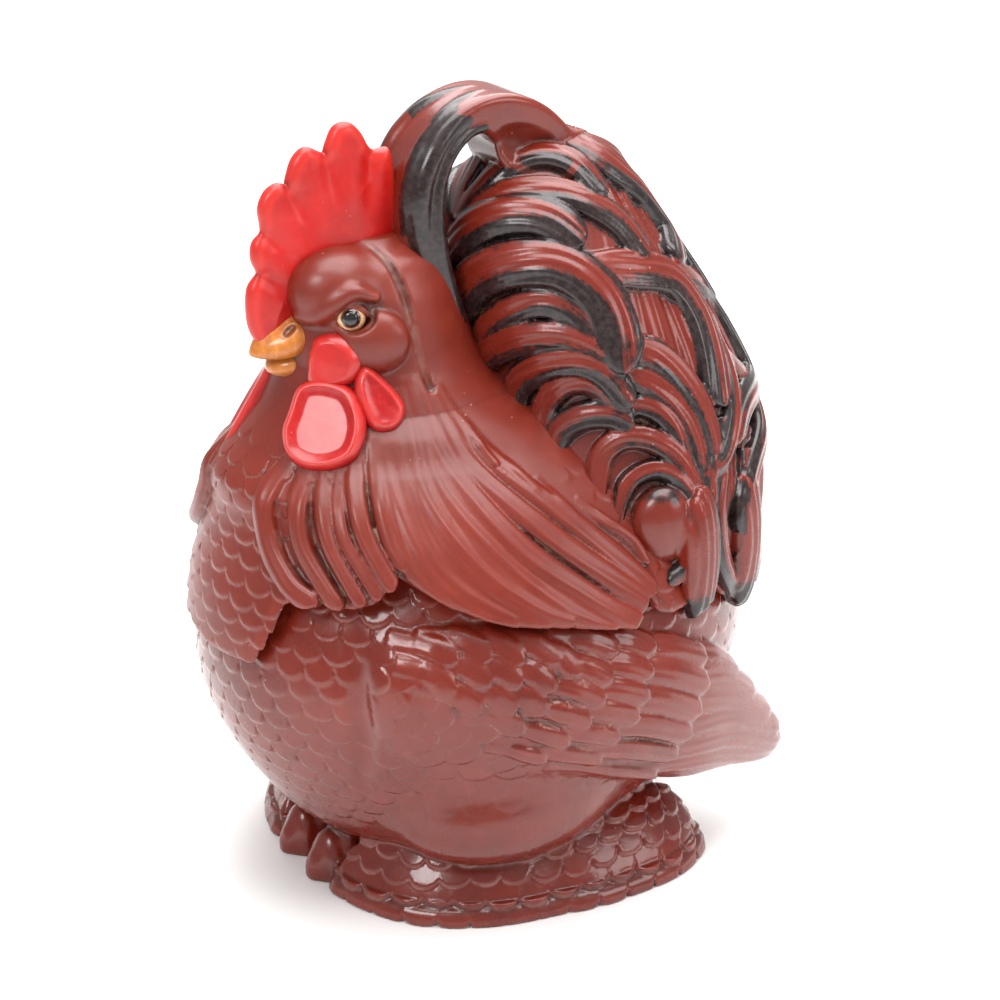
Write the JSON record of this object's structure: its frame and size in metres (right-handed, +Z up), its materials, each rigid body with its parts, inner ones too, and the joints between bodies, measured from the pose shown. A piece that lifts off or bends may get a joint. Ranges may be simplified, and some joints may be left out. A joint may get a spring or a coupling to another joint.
{
  "type": "rooster cookie jar",
  "caption": "Glazed ceramic rooster storage jar: round feathered body with wings and scalloped feet, and a lift-off lid formed as cape, head, comb and arched tail with a strap handle.",
  "frame": {"origin": "centre of the resting face, at the bottom of the object's box", "axes": "+Z up, beak towards -Y, the bird's left side towards +X"},
  "size_m": [0.21, 0.2493, 0.322],
  "materials": {
    "brown_glaze": "glossy red-brown glaze over moulded feathers",
    "dark_feather_glaze": "glossy red-brown glaze with black brushed feather edges",
    "red_glaze": "bright red glaze, paler on the rims",
    "ochre_glaze": "ochre hand-painted glaze",
    "eye_glaze": "cream glaze with a painted black pupil"
  },
  "bodies": {
    "jar": {"jar_body": "brown_glaze", "left_wing": "brown_glaze", "right_wing": "brown_glaze", "left_foot": "brown_glaze", "right_foot": "brown_glaze", "left_toe": "brown_glaze", "right_toe": "brown_glaze"},
    "lid": {"lid_cape": "brown_glaze", "lid_flange": "brown_glaze", "head_and_neck": "brown_glaze", "tail": "dark_feather_glaze", "handle": "dark_feather_glaze", "comb": "red_glaze", "upper_beak": "ochre_glaze", "lower_beak": "ochre_glaze", "left_cheek": "red_glaze", "right_cheek": "red_glaze", "left_wattle": "red_glaze", "right_wattle": "red_glaze", "left_earlobe": "red_glaze", "right_earlobe": "red_glaze", "left_eye": "eye_glaze", "right_eye": "eye_glaze"}
  },
  "joints": [
    {"name": "lid_lift", "type": "slide", "parent": "jar", "child": "lid", "axis": [0, 0, 1], "range_m": [0, 0.15]}
  ]
}
